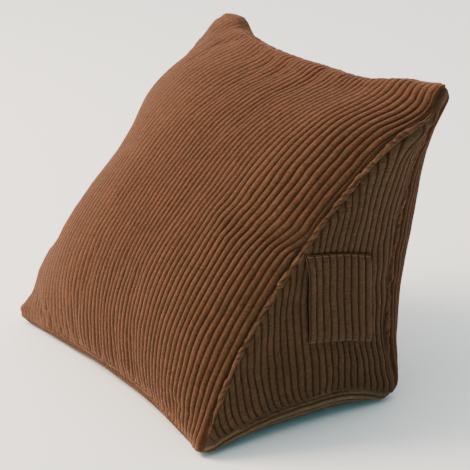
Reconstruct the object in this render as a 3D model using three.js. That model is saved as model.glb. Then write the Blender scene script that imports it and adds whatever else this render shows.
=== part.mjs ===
// A wedge-shaped backrest pillow in ribbed velvet, with a patch pocket on its right side.
// Millimetres, +Z up. The sloping front faces -Y and the base lies flat at z = 0.
// The origin is on the floor, under the middle of the pillow's box.
import * as THREE from 'three';

const at = (x, y, z) => new THREE.Vector3(x, y, z);

// Where the six sewn corners, or ears, lie. Filled cloth is never quite even, so each has its own place.
const EARS = {
  frontLeft: at(-226, -161, 5),
  frontRight: at(222, -163, 4),
  backLeft: at(-220, 88, 3),
  backRight: at(214, 88, 3),
  topLeft: at(-227.5, 140, 341),
  topRight: at(228, 142, 343),
};

// The nine seams: the ears that each joins, and how far its middle is drawn off the straight line
const SEAMS = {
  slopeLeft: { from: EARS.frontLeft, to: EARS.topLeft, draw: at(20, -20, 8) },
  slopeRight: { from: EARS.frontRight, to: EARS.topRight, draw: at(-20, -20, 8) },
  backEdgeLeft: { from: EARS.backLeft, to: EARS.topLeft, draw: at(40, -17, 0) },
  backEdgeRight: { from: EARS.backRight, to: EARS.topRight, draw: at(-40, -17, 0) },
  baseLeft: { from: EARS.frontLeft, to: EARS.backLeft, draw: at(17, 0, 28) },
  baseRight: { from: EARS.frontRight, to: EARS.backRight, draw: at(-17, 0, 28) },
  toe: { from: EARS.frontLeft, to: EARS.frontRight, draw: at(0, 15, 12) },
  heel: { from: EARS.backLeft, to: EARS.backRight, draw: at(0, -9, 15) },
  top: { from: EARS.topLeft, to: EARS.topRight, draw: at(0, -12, -26) },
};
const SEAM_ROUNDNESS = 2.3;    // power of the curve along a seam: 2 is a parabola, more is fuller at the ends

// The three long panels. The crown is how far the stuffing lifts the middle, across and along are the
// powers of its profile, and fullness under 1 makes the rim of the crown rounder.
const PANELS = {
  front: {
    left: SEAMS.slopeLeft, right: SEAMS.slopeRight, start: SEAMS.toe, end: SEAMS.top,
    facing: 1, crown: 54, across: 4.4, along: 3.6, fullness: 1,
    rows: [0, 0.013, 0.05, 0.12, 0.22, 0.35, 0.5, 0.65, 0.78, 0.88, 0.95, 0.987, 1],
  },
  back: {
    left: SEAMS.backEdgeLeft, right: SEAMS.backEdgeRight, start: SEAMS.heel, end: SEAMS.top,
    facing: -1, crown: 60, across: 4.8, along: 2.8, fullness: 0.6,
    rows: [0, 0.015, 0.06, 0.17, 0.34, 0.55, 0.75, 0.9, 0.98, 1],
  },
  base: {
    left: SEAMS.baseLeft, right: SEAMS.baseRight, start: SEAMS.toe, end: SEAMS.heel,
    facing: -1, crown: 72, across: 5, along: 5, fullness: 0.6,
    rows: [0, 0.02, 0.06, 0.14, 0.35, 0.65, 0.86, 0.94, 0.98, 1],
  },
};
const FLOOR_FILLET = 6;        // how softly the base panel meets the floor

// The two triangular side panels. Their ribs fan from the front ear to the back edge.
const SIDE_CROWN = 22;
const SIDE_ACROSS = 3;
const SIDE_FULLNESS = 0.8;
const SIDE_INSET = 6;          // from the seams to the first points of the side panel
const SIDE_FIRST = 0.07;       // where the first rib of the side starts, as a share of the base seam
const SIDE_RIBS = 28;
const SIDE_STEPS = 8;

// Ribs and seams
const LONG_RIBS = 56;          // across the front, back and base panels
const RIB_HEIGHT = 2.4;
const WELT_HEIGHT = 3;         // how far a seam's folded edge stands up
const WELT_MARGIN = 4.5;       // from a seam to the first rib beside it
const SEAM_FADE = 24;          // the ribs flatten over this length towards a seam

// Blunt ears: the tip is pushed back by this much, and the push dies out within the reach
const EAR_PUSH = 10;
const EAR_REACH = 50;
const MIDDLE = at(-2, -10, 130);

// The pocket on the right side panel. Each corner is given by the side rib that it lies on, as a share
// of the base seam, and by its rise along that rib from the base seam.
const POCKET = {
  lowerFront: { rib: 0.588, rise: 57 },
  upperFront: { rib: 0.528, rise: 155 },
  lowerBack: { rib: 0.905, rise: 60 },
  upperBack: { rib: 0.87, rise: 155 },
  ribs: 9,
  clearance: 0.6,              // from the ribs under it
  thickness: 2.2,
  ribHeight: 1.6,
  gape: 2.4,                   // how far its open front edge stands off
  gapeReach: 0.3,              // the share of its width over which that dies out
  steps: 7,
};

const COLOURS = { cushion: 0x7a5340, pocket: 0x54403a };

const clamp = (value, low, high) => Math.min(Math.max(value, low), high);
const hump = (x, power) => 1 - Math.abs(2 * x - 1) ** power;

function seamPoint(seam, s) {
  return seam.from.clone().lerp(seam.to, s).addScaledVector(seam.draw, hump(s, SEAM_ROUNDNESS));
}

// Pushes points near an ear's tip back towards the middle of the pillow, so that the ear ends bluntly
function blunt(point) {
  for (const tip of Object.values(EARS)) {
    if (point.distanceTo(tip) < EAR_REACH) {
      const inward = MIDDLE.clone().sub(tip).normalize();
      const depth = point.clone().sub(tip).dot(inward);
      const share = clamp(1 - depth / EAR_REACH, 0, 1.3);
      point.addScaledVector(inward, EAR_PUSH * share ** (EAR_REACH / EAR_PUSH));
    }
  }
  return point;
}

// Lays what would be under the floor flat on it, with a soft bend
function restOnFloor(point) {
  if (point.z < -FLOOR_FILLET) {
    point.z = 0;
  } else if (point.z < FLOOR_FILLET) {
    point.z = (point.z + FLOOR_FILLET) ** 2 / (4 * FLOOR_FILLET);
  }
  return point;
}

// The crown's direction: square to the plane through the panel's ears
function outwardOf(panel) {
  const along = panel.end.from.clone().sub(panel.start.from);
  const square = at(1, 0, 0).cross(at(0, along.y, along.z)).normalize();
  return square.multiplyScalar(panel.facing);
}

// A point of a long panel: t runs from left to right, s from the panel's first seam to its last
function panelPoint(panel, t, s) {
  const point = seamPoint(panel.left, s).multiplyScalar(1 - t);
  point.addScaledVector(seamPoint(panel.right, s), t);
  point.addScaledVector(seamPoint(panel.start, t), 1 - s);
  point.addScaledVector(seamPoint(panel.end, t), s);
  point.addScaledVector(panel.start.from, -(1 - t) * (1 - s));
  point.addScaledVector(panel.start.to, -t * (1 - s));
  point.addScaledVector(panel.end.from, -(1 - t) * s);
  point.addScaledVector(panel.end.to, -t * s);
  const lift = (hump(t, panel.across) * hump(s, panel.along)) ** panel.fullness;
  point.addScaledVector(outwardOf(panel), panel.crown * lift);
  blunt(point);
  return panel === PANELS.base ? restOnFloor(point) : point;
}

// A point of a side panel: r runs from the front ear to the back edge, s up a rib to the slope seam
function sidePoint(side, r, s) {
  const point = seamPoint(side.base, r).multiplyScalar(1 - s);
  point.addScaledVector(seamPoint(side.slope, r), s);
  point.addScaledVector(side.backEdge.draw, r * hump(s, SEAM_ROUNDNESS));
  const alongBase = (r ** 1.3 * (1 - r ** 4)) / 0.48;
  point.x += side.sign * SIDE_CROWN * (hump(s, SIDE_ACROSS) * alongBase) ** SIDE_FULLNESS;
  return blunt(point);
}

// The direction square to a surface, from small steps along its two parameters
function normalOf(surface, a, b, facing) {
  const step = 0.004;
  const a0 = clamp(a - step, 0, 1);
  const a1 = clamp(a + step, 0, 1);
  const b0 = clamp(b - step, 0, 1);
  const b1 = clamp(b + step, 0, 1);
  const alongA = surface(a1, b).sub(surface(a0, b));
  const alongB = surface(a, b1).sub(surface(a, b0));
  return alongA.cross(alongB).normalize().multiplyScalar(facing);
}

// The places across a row, in t, that lie at the given distances along the cloth
function placesAlong(surface, distances) {
  const samples = 240;
  const lengths = [0];
  let last = surface(0);
  for (let i = 1; i <= samples; i++) {
    const next = surface(i / samples);
    lengths.push(lengths[i - 1] + next.distanceTo(last));
    last = next;
  }
  const total = lengths[samples];
  let i = 0;
  return distances(total).map((distance) => {
    while (i < samples - 1 && lengths[i + 1] < distance) {
      i++;
    }
    return (i + (distance - lengths[i]) / (lengths[i + 1] - lengths[i])) / samples;
  });
}

// Seam, groove, then a crest and a groove for each rib, and the far seam
function ribDistances(total) {
  const pitch = (total - 2 * WELT_MARGIN) / LONG_RIBS;
  const list = [0];
  for (let half = 0; half <= 2 * LONG_RIBS; half++) {
    list.push(WELT_MARGIN + (half * pitch) / 2);
  }
  list.push(total);
  return list;
}

// One row of points across a long panel, with its ribs raised in the points
function ribbedRow(panel, s) {
  const surface = (t) => panelPoint(panel, t, s);
  const places = placesAlong(surface, ribDistances);
  const length = panel.start.from.distanceTo(panel.end.from);
  const fade = clamp((Math.min(s, 1 - s) * length) / SEAM_FADE, 0.35, 1);
  const onSeam = s === 0 || s === 1;
  return places.map((t, column) => {
    const point = surface(t);
    const atEnd = column === 0 || column === places.length - 1;
    if (atEnd || onSeam) {
      const outward = point.clone().sub(MIDDLE).normalize();
      return restOnFloor(point.addScaledVector(outward, WELT_HEIGHT));
    }
    const crest = column % 2 === 0 ? 1 : 0;
    const offFloor = panel === PANELS.base ? clamp(point.z / FLOOR_FILLET, 0, 1) : 1;
    const normal = normalOf((a, b) => panelPoint(panel, a, b), t, s, panel.facing);
    return point.addScaledVector(normal, RIB_HEIGHT * crest * fade * offFloor);
  });
}

// A closed mesh is collected here: points, and triangles that turn anticlockwise seen from outside
class Shell {
  constructor() {
    this.points = [];
    this.faces = [];
  }

  add(point) {
    this.points.push(point);
    return this.points.length - 1;
  }

  triangle(a, b, c, flipped = false) {
    this.faces.push(flipped ? [a, c, b] : [a, b, c]);
  }

  quad(a, b, c, d, flipped = false) {
    this.triangle(a, b, c, flipped);
    this.triangle(a, c, d, flipped);
  }

  // Fills the strip between two closed loops that run the same way round, by the shorter diagonals
  bridge(outer, inner, flipped) {
    const gap = (i, k) => this.points[outer[i % outer.length]].distanceTo(this.points[inner[k % inner.length]]);
    let i = 0;
    let k = 0;
    while (i < outer.length || k < inner.length) {
      const outerNext = i < outer.length && (k >= inner.length || gap(i + 1, k) < gap(i, k + 1));
      const from = outer[i % outer.length];
      const to = inner[k % inner.length];
      if (outerNext) {
        this.triangle(outer[(i + 1) % outer.length], from, to, flipped);
        i++;
      } else {
        this.triangle(from, to, inner[(k + 1) % inner.length], flipped);
        k++;
      }
    }
  }

  geometry() {
    const geometry = new THREE.BufferGeometry();
    geometry.setAttribute('position', new THREE.Float32BufferAttribute(this.points.flatMap((p) => p.toArray()), 3));
    geometry.setIndex(this.faces.flat());
    geometry.computeVertexNormals();
    return geometry;
  }
}

// The front, back and base panels as one ring of rows: up the slope, down the back, forward underneath
function addRing(shell) {
  const up = PANELS.front.rows.map((s) => ribbedRow(PANELS.front, s));
  const down = PANELS.back.rows.slice(0, -1).reverse().map((s) => ribbedRow(PANELS.back, s));
  const forward = PANELS.base.rows.slice(1, -1).reverse().map((s) => ribbedRow(PANELS.base, s));
  const ring = [...up, ...down, ...forward].map((row) => row.map((point) => shell.add(point)));
  ring.forEach((row, i) => {
    const next = ring[(i + 1) % ring.length];
    for (let j = 0; j < row.length - 1; j++) {
      shell.quad(row[j], row[j + 1], next[j + 1], next[j]);
    }
  });
  return ring;
}

const SIDES = {
  left: { slope: SEAMS.slopeLeft, base: SEAMS.baseLeft, backEdge: SEAMS.backEdgeLeft, sign: -1 },
  right: { slope: SEAMS.slopeRight, base: SEAMS.baseRight, backEdge: SEAMS.backEdgeRight, sign: 1 },
};

function sideRibLength(side, r) {
  return seamPoint(side.base, r).distanceTo(seamPoint(side.slope, r));
}

// One rib line of a side panel, from the base seam up to the slope seam
function sideColumn(side, column) {
  const last = 1 - SIDE_INSET / side.base.from.distanceTo(side.base.to);
  const r = SIDE_FIRST + ((last - SIDE_FIRST) * column) / (2 * SIDE_RIBS);
  const length = sideRibLength(side, r);
  const inset = SIDE_INSET / length;
  const crest = column % 2;
  const points = [];
  for (let step = 0; step <= SIDE_STEPS; step++) {
    const s = inset + ((1 - 2 * inset) * step) / SIDE_STEPS;
    const fade = clamp((Math.min(s, 1 - s) * length - SIDE_INSET) / SEAM_FADE, 0.2, 1);
    const normal = normalOf((a, b) => sidePoint(side, a, b), r, s, side.sign);
    points.push(sidePoint(side, r, s).addScaledVector(normal, RIB_HEIGHT * crest * fade));
  }
  return points;
}

function addSide(shell, side, ringEdge) {
  const flipped = side.sign < 0;
  const grid = [];
  for (let column = 0; column <= 2 * SIDE_RIBS; column++) {
    grid.push(sideColumn(side, column).map((point) => shell.add(point)));
  }
  for (let j = 0; j < grid.length - 1; j++) {
    for (let k = 0; k < SIDE_STEPS; k++) {
      shell.quad(grid[j][k], grid[j + 1][k], grid[j + 1][k + 1], grid[j][k + 1], flipped);
    }
  }
  const alongSlope = grid.map((column) => column[SIDE_STEPS]);
  const downBack = grid[grid.length - 1].slice(1, -1).reverse();
  const alongBase = grid.map((column) => column[0]).reverse();
  const upFront = grid[0].slice(1, -1);
  shell.bridge(ringEdge, [...alongSlope, ...downBack, ...alongBase, ...upFront], flipped);
}

function cushionGeometry() {
  const shell = new Shell();
  const ring = addRing(shell);
  addSide(shell, SIDES.left, ring.map((row) => row[0]));
  addSide(shell, SIDES.right, ring.map((row) => row[row.length - 1]));
  return shell.geometry();
}

// A point over the right side panel, in the pocket's own shares: across its width and up its length
function pocketPoint(across, up, lift) {
  const side = SIDES.right;
  const between = (key) => THREE.MathUtils.lerp(
    THREE.MathUtils.lerp(POCKET.lowerFront[key], POCKET.lowerBack[key], across),
    THREE.MathUtils.lerp(POCKET.upperFront[key], POCKET.upperBack[key], across),
    up,
  );
  const r = between('rib');
  const s = between('rise') / sideRibLength(side, r);
  const normal = normalOf((a, b) => sidePoint(side, a, b), r, s, side.sign);
  const gape = POCKET.gape * clamp(1 - across / POCKET.gapeReach, 0, 1) ** 2 * hump(up, 4);
  return sidePoint(side, r, s).addScaledVector(normal, lift + gape);
}

// The pocket is a sheet with a smooth inner face and ribs raised on its outer face
function pocketGeometry() {
  const shell = new Shell();
  const columns = 2 * POCKET.ribs;
  const inner = RIB_HEIGHT + POCKET.clearance;
  const outer = inner + POCKET.thickness;
  const layer = (lift, raised) => {
    const grid = [];
    for (let i = 0; i <= columns; i++) {
      const column = [];
      for (let k = 0; k <= POCKET.steps; k++) {
        const ribbed = raised && k > 0 && k < POCKET.steps ? POCKET.ribHeight * (i % 2) : 0;
        column.push(shell.add(pocketPoint(i / columns, k / POCKET.steps, lift + ribbed)));
      }
      grid.push(column);
    }
    return grid;
  };
  const outside = layer(outer, true);
  const inside = layer(inner, false);
  for (let i = 0; i < columns; i++) {
    for (let k = 0; k < POCKET.steps; k++) {
      shell.quad(outside[i][k], outside[i + 1][k], outside[i + 1][k + 1], outside[i][k + 1]);
      shell.quad(inside[i][k], inside[i + 1][k], inside[i + 1][k + 1], inside[i][k + 1], true);
    }
  }
  const rim = (grid) => [
    ...grid.map((column) => column[0]),
    ...grid[columns].slice(1),
    ...grid.map((column) => column[POCKET.steps]).reverse().slice(1),
    ...grid[0].slice(1, -1).reverse(),
  ];
  const outerRim = rim(outside);
  const innerRim = rim(inside);
  outerRim.forEach((point, i) => {
    const next = (i + 1) % outerRim.length;
    shell.quad(innerRim[i], innerRim[next], outerRim[next], point);
  });
  return shell.geometry();
}

function clothPiece(name, geometry, colour) {
  const material = new THREE.MeshStandardMaterial({ color: colour, roughness: 0.9, metalness: 0 });
  const mesh = new THREE.Mesh(geometry, material);
  mesh.name = name;
  return mesh;
}

const pillow = new THREE.Group();
pillow.add(clothPiece('cushion', cushionGeometry(), COLOURS.cushion));
pillow.add(clothPiece('pocket', pocketGeometry(), COLOURS.pocket));

export default pillow;
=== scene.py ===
"""Looks of a wedge-shaped backrest pillow in ribbed velvet, with a patch pocket on its right side.

The shapes are worked out in millimetres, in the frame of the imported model, and made in metres.
"""
import math
from collections import namedtuple

import bpy
import numpy as np
from mathutils import Matrix, Vector
from mathutils.bvhtree import BVHTree


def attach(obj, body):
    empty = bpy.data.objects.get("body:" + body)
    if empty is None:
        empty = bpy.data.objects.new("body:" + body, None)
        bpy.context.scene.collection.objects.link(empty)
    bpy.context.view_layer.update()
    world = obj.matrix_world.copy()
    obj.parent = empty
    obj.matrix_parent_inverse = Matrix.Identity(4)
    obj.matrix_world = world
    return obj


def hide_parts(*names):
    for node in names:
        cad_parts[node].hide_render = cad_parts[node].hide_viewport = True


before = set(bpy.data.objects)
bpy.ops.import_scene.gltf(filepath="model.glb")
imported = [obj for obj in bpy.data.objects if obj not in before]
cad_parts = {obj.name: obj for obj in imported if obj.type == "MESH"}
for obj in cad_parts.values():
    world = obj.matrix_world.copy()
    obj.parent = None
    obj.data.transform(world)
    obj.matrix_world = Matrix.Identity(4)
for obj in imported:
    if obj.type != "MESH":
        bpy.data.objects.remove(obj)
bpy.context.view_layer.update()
MM = 0.001

# The photograph's camera: its aim, distance and focal length
CAMERA_POSITION = Vector((1.6266, -0.9722, 0.8266))
CAMERA_AZIMUTH = 58.75
CAMERA_ELEVATION = 19.84
CAMERA_ROLL = -0.87
CAMERA_LENS = 137.87
CAMERA_SENSOR = 36

# The six sewn corners, or ears: the tip, how much the cloth swells near it and is pinched in behind it
Ear = namedtuple("Ear", "tip swell pinch")
EARS = {
    "front_left": Ear((-226, -161, 5.0), 1, 1.5),
    "front_right": Ear((222, -163, 4.0), 1.5, 1),
    "back_left": Ear((-220, 88, 3.0), 2, 2),
    "back_right": Ear((214, 88, 3.0), 2.5, 1),
    "top_left": Ear((-227.5, 140, 341.0), 3, 0),
    "top_right": Ear((228, 142, 343.0), 4, 0),
}
SWELL_PLACE = 17  # from the tip
SWELL_REACH = 13
PINCH_PLACE = 46
PINCH_REACH = 17
BACK_SWELL = 0.25  # the share of both that the back and the base have
BARE_TIP = (3, 14)  # distances from a tip between which the ribs rise to their height
MIDDLE = np.array([-2, -10, 130.0])
EAR_PUSH = 10
EAR_REACH = 50
EAR_PUSH_LIMIT = 1.3

# Where the stuffing or a tight seam pulls the whole shape a little out of its even curves
Pull = namedtuple("Pull", "centre reach move")
PULLS = [
    Pull((155, 135, 327), 55, (0, 2, 8)),  # the fuller right half of the top edge
    Pull((10, 134, 316), 100, (0, 0, 4.5)),  # its middle, which sags less
    Pull((-190, 146, 332), 20, (2, 6, 7)),  # the round left ear, fuller on its right
    Pull((-226, 128, 336), 20, (3, 3, -3)),  # and drawn in on its left
    Pull((217, 108, 301), 22, (0, 8, -2)),  # the slope seam, drawn back below the right ear
    Pull((214, 124, 296), 9, (-7, 0, 0)),  # the pit behind it
    Pull((226, 142, 338), 20, (-4, 0, -3)),  # the right ear's tip, turned down behind its front
    Pull((-173, -60, 195), 90, (2, 1.5, -2)),  # the flatter left edge of the front
    Pull((-222, -140, 34), 22, (4, 3, -1)),  # the left slope seam's foot, drawn in
    Pull((167, 136, 188), 75, (0, 8, 0)),  # the fuller right edge of the back
    Pull((-208, 22, 259), 45, (-4.2, -3.2, 5.5)),  # the fuller left slope under its ear
    Pull((200, 25, 20), 40, (0, 0, 4)),  # the base's right seam, drawn up
    Pull((180, 118, 115), 55, (0, 3, 0)),  # the fuller back, low down on its right
    Pull((60, -148, 10), 90, (0, 2, 3)),  # the toe, drawn up and in
]

# The nine seams: the ears that each joins, and how far its middle is drawn off the straight line
Seam = namedtuple("Seam", "start end draw")


def seam_between(start, end, *draw):
    return Seam(*(np.array(place, float) for place in (EARS[start].tip, EARS[end].tip, draw)))


SLOPE_LEFT = seam_between("front_left", "top_left", 20, -20, 8)
SLOPE_RIGHT = seam_between("front_right", "top_right", -23, -23, 11)
BACK_EDGE_LEFT = seam_between("back_left", "top_left", 40, -17, 0)
BACK_EDGE_RIGHT = seam_between("back_right", "top_right", -40, -19, 0)
BASE_LEFT = seam_between("front_left", "back_left", 17, 0, 28)
BASE_RIGHT = seam_between("front_right", "back_right", -10, 0, 22)
TOE = seam_between("front_left", "front_right", 0, 15, 12)
HEEL = seam_between("back_left", "back_right", 0, -9, 15)
TOP = seam_between("top_left", "top_right", 0, -12, -26)
SEAM_ROUNDNESS = 2.3

# The right slope seam dips just below its top ear, so that the front's cloth covers the ear's end
DIP_PLACE = 0.93
DIP_REACH = 0.06
DIP_MOVE = np.array([0.5, 3, -5])

# The three long panels: how far the stuffing lifts the middle, and the powers of the crown's profile
Panel = namedtuple("Panel", "left right start end facing crown across along fullness")
FRONT = Panel(SLOPE_LEFT, SLOPE_RIGHT, TOE, TOP, 1, 54, 4.4, 3.6, 1)
BACK = Panel(BACK_EDGE_LEFT, BACK_EDGE_RIGHT, HEEL, TOP, -1, 60, 4.8, 2.8, 0.6)
BASE = Panel(BASE_LEFT, BASE_RIGHT, TOE, HEEL, -1, 52, 4.4, 3.4, 0.66)
FLOOR_FILLET = 6

# The two triangular side panels
Side = namedtuple("Side", "slope base back_edge sign")
LEFT_SIDE = Side(SLOPE_LEFT, BASE_LEFT, BACK_EDGE_LEFT, -1)
RIGHT_SIDE = Side(SLOPE_RIGHT, BASE_RIGHT, BACK_EDGE_RIGHT, 1)
SIDE_CROWN = 22
SIDE_ACROSS = 3
SIDE_FULLNESS = 0.8
SIDE_SWELL_FRONT = 1.3  # how its crown grows from the front ear
SIDE_SWELL_BACK = 4  # and dies out at the back edge
SIDE_SWELL_PEAK = 0.48  # which together reach this
SIDE_INSET = 3.4
SIDE_FIRST = 0.05
SIDE_RIBS = 31  # the last three run off at the back seam, low down
SIDE_PITCH = 8.15
SIDE_SQUEEZED = 0.2  # what is left between mesh columns where ribs have run off

# How its ribs leave the upright, and the shares of the base, or of their rise, between which they do
SIDE_FOLLOW = 0.35  # the back ribs follow the back seam's lean
SIDE_FOLLOW_FROM = (0.75, 0.95)
SIDE_TOP_LEAN = 9  # the ribs lean back just under the slope seam
SIDE_TOP_LEAN_FROM = (0.25, 0.5)
SIDE_TOP_LEAN_RISE = (0.6, 1)
SIDE_LEAN = 0.035  # the front ribs lean forward
SIDE_LEAN_TO = (0.5, 0.75)
SIDE_SWERVE = 11  # their feet swerve back at the base seam
SIDE_SWERVE_REACH = 9
SIDE_SWERVE_LEFT = 0.3  # the share of that by which they lie further forward higher up
SIDE_SWERVE_TO = (0.45, 0.62)

# Ribs: their number and size, and where the mesh has its points across one, from groove to groove
LONG_RIBS = 56
PITCH = 8
RIB_HEIGHT = 2.4
RIB_ROUNDNESS = 2.1
RIB_FULLNESS = 0.72
LEFT_FLATTENING = 0.72  # the ribs lie flatter on the left of the long panels
# These ribs also bound where the painted shade in the material's grooves grows to its full depth
FLAT_RIBS = (4, 34)  # the ribs between which they rise to their height
RIB_PHASES = np.array([0, 0.1, 0.27, 0.5, 0.73, 0.9])
WELT_MARGIN = 4.5
SEAM_FADE = 12  # from a seam over which the ribs lie lower
SEAM_RIB_SHARE = 0.45  # the share of a rib's height that is left at a seam
SIDE_SEAM_RIB_SHARE = 0.3
RING_ROWS = {"front": 104, "back": 60, "base": 36}
SIDE_ROWS = 52

# The pocket: y and rise from the base seam, from front to back at its bottom and at its top
POCKET_Y = np.array([[-25.0, 59.0], [-27.0, 59.5]])
POCKET_RISE = np.array([[66, 59], [162.5, 155.5]])
POCKET_RIBS = 9
POCKET_FLAT = (0.086, 0.098)  # in metres
POCKET_ROWS = 56
POCKET_THICKNESS = 1.7
POCKET_RIB_HEIGHT = 1.9
POCKET_CLEARANCE = 0.35
POCKET_GAPE = 4.0  # how far its open front edge stands off
POCKET_GAPE_REACH = 0.25  # the share of its width over which that dies out
POCKET_SHARP = math.radians(55)
POCKET_PRESS_REACH = 5  # from its stitched ends over which it is pressed down
POCKET_PRESSED_CLOTH = 0.6  # the share of its thickness that is left at the stitches
POCKET_PRESSED_RIBS = 0.45  # the share of its ribs' height that is left there
POCKET_LOOSENESS = 0.9
POCKET_BEND = 0.12  # how far its ribs swerve, in ribs
POCKET_UNEVENNESS = 0.12  # how much their height varies
POCKET_SPREAD = 4  # mesh points over which it spans the panel's ribs
POCKET_PROBE = 20  # how far off the panel the search for its cloth starts

# Its stitches, one over each rib, and how they press down the panel's ribs beside them
STITCH_RADIUS = 0.5
STITCH_SIDES = 6
STITCH_INSET = 2  # mesh rows from the pocket's end
STITCH_LIFT = 0.15
STITCH_PRESS = 0.8
STITCH_PRESS_REACH = 4

# Soft folds, given one by one. Start and end are (rib number, millimetres along the ring of the long panels,
# from the toe up the front), a positive depth is a trough, and it dies out towards its end.
Fold = namedtuple("Fold", "start end width depth")
FOLDS = [
    Fold((57.5, 226), (42, 212), 10, 5.5),
    Fold((57.5, 252), (44, 240), 12, -2.5),
    Fold((6, 452), (24, 436), 5, 3.0),
    Fold((9, 440), (30, 424), 6, -2.0),
    Fold((14, 456), (34, 447), 4, 2.2),
]
FOLD_GROWS = (-0.15, 0.05)  # the shares of its length between which it grows
FOLD_DIES = (0.2, 1.15)  # and dies out

# Below the pull of the pocket's top stitching, the front's ribs come out from under the right slope seam
# one after another, and more of them end at the seam near the ear: (how many, from and to along the ring)
SWALLOWED = [(1.5, 214, 246), (1.0, 330, 420)]
SWALLOWED_WIDTH = 0.05  # what is left of the width of a rib that has ended
SWALLOW_REACH = 13

# The front rolls over before it reaches the top seam, which lies behind this roll
TOP_ROLL = 5
TOP_ROLL_PLACE = 18
TOP_ROLL_REACH = 15
TOP_ROLL_SHAPE = 5  # the power of its profile across the front

# Smooth random unevenness: its size, and the reach of one patch across and along the ribs.
# A wobble moves the ribs sideways, in ribs or in r on a side panel. Lumps are in millimetres.
Patches = namedtuple("Patches", "size across along")
WOBBLE = Patches(0.1, 3.1, 24)
FINE_WOBBLE = Patches(0.05, 1.3, 11)
SIDE_WOBBLE = Patches(0.0035, 2.7, 22)
LUMPS = Patches(1.3, 60, 75)
SIDE_LUMPS = Patches(1.0, 55, 60)
PUCKER = 1.1  # the height of the gathers at a seam
SIDE_PUCKER = 1.0
PUCKER_PITCH = 13
FINE_PUCKER_PITCH = 5.85
PUCKER_REACH = 16
OTHER_SEAM = 900  # makes the gathers of the right seams differ

# The seeds of the random fields. Those of a side panel and of the welts count on from these.
SEEDS = {
    "wobble": 5, "fine_wobble": 6, "pucker": 11, "lumps": 12, "left_side": 31, "right_side": 41,
    "welts": 60, "pocket_bend": 81, "pocket_looseness": 83, "pocket_ribs": 84,
}

# The cloth simulation that gives the panels their wrinkles, on a coarse mesh of each
CLOTH_PRESSURE = 4
CLOTH_GROWTH = 0.02  # how much larger the cloth is than the form that it is sewn over
CLOTH_FRAMES = 20
CLOTH_ROW_STEP = 3
CLOTH_SMOOTHING = 5  # rows and columns over which the general swelling is taken out again
CLOTH_LIMIT = 2.2
SIDE_CLOTH_LIMIT = 1.2
CLOTH_CALM_EAR = (25, 80)  # distances from an ear's tip between which the wrinkles grow
CLOTH_CALM_SEAM = (4, 36)  # and from a long seam

# A welt's radius, how far its middle stands out, the length of one turn of its strands, and the ribs over it
Welt = namedtuple("Welt", "radius lift lay ribs")
ROPE_WELT = Welt(2.5, 0.6, 30, 0)
SUNKEN_WELT = Welt(2.0, -1.4, 30, 0)
BACK_WELT = Welt(2.9, 0.6, 50, 0)
BASE_WELT = Welt(1.7, 0.2, 36, 0)
RIBBED_WELT = Welt(1.6, 0.0, 0, LONG_RIBS)
WELT_STEP = 1.3
WELT_SIDES = 14
WELT_TAPER = 75
WELT_SINK = 3.5  # how far its ends sink into the ears
WELT_FLOOR = 0.15
WELT_CORE = 0.86  # the even share of its radius
WELT_STRANDS = 0.06  # the share that its two strands add
WELT_KNOBS = 0.26
WELT_GATHERS = 0.22
WELT_WANDER = 2.4  # how unevenly its strands turn, in radians
WELT_HIGH = 0.9  # its section, as shares of its radius
WELT_WIDE = 1.2

# The rib numbers that each part of the mesh starts from, which the material reads
LEFT_SIDE_MARK = 100
RIGHT_SIDE_MARK = 200
POCKET_MARK = 300
POCKET_INSIDE_MARK = 320
WELT_MARK = 400
WELT_MARK_STEP = 7
SEAM_MARK_REACH = 4  # from a seam over which the cloth is marked as seam

# Painted light: the base panel's colour is brightened, standing in for the light that its nap catches in the
# dim light that it gets
BASE_PAINTED_LIGHT = (2.2, 2.55, 3.0, 1.0)
BASE_START = 812  # millimetres along the ring from where it has its full brightness
MARK_BLEND = 10  # half the step, in those or in rib numbers, from one look to the next

# The studio: bright on the pillow's left and dim on its right
WORLD_BRIGHT = (2.45, 2.2, 2.08, 1)
WORLD_DIM = (0.10, 0.24, 0.26, 1)
WORLD_TURN = (-0.1, 0.5)  # the directions in x between which the one blends into the other
FLOOR_SIZE = 12
Lamp = namedtuple("Lamp", "name position target size power colour")
KEY = Lamp("key", (-1.6, -1.5, 2.1), (0, 0, 0.15), 1.6, 205, (1.0, 0.69, 0.49))
FILL = Lamp("fill", (1.7, -1.6, 0.3), (0.15, 0, 0.05), 1.4, 13, (0.55, 1.0, 1.1))


def hump(x, power):
    return 1 - np.abs(2 * x - 1) ** power


def bell(x, reach):
    return np.exp(-((x / reach) ** 2))


def soft_step(x, low, high):
    share = np.clip((x - low) / (high - low), 0, 1)
    return share * share * (3 - 2 * share)


def soft_noise(x, y, seed, size=97):
    """Smooth random values from -1 to 1 over a plane, one for each unit square."""
    x, y = np.broadcast_arrays(np.asarray(x, float), np.asarray(y, float))
    grid = np.random.default_rng(seed).uniform(-1, 1, (size, size))
    column = np.floor(x).astype(int)
    row = np.floor(y).astype(int)
    right = soft_step(x - column, 0, 1)
    up = soft_step(y - row, 0, 1)

    def value(i, k):
        return grid[(column + i) % size, (row + k) % size]

    low = value(0, 0) * (1 - right) + value(1, 0) * right
    high = value(0, 1) * (1 - right) + value(1, 1) * right
    return low * (1 - up) + high * up


def patches(form, across, along, seed):
    return form.size * soft_noise(across / form.across, along / form.along, seed)


def add_object(name, data):
    piece = bpy.data.objects.new(name, data)
    bpy.context.scene.collection.objects.link(piece)
    return piece


def unit(vectors):
    return vectors / np.maximum(np.linalg.norm(vectors, axis=-1, keepdims=True), 1e-9)


def seam_point(seam, s):
    s = np.asarray(s, float)[..., None]
    point = seam.start + (seam.end - seam.start) * s + seam.draw * hump(s, SEAM_ROUNDNESS)
    if seam is SLOPE_RIGHT:
        nearness = bell(s - DIP_PLACE, DIP_REACH) * soft_step(1 - s, 0, DIP_REACH)
        point = point + DIP_MOVE * nearness
    return point


def distance_to(place, points):
    return np.linalg.norm(points - np.array(place, float), axis=-1)


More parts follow.
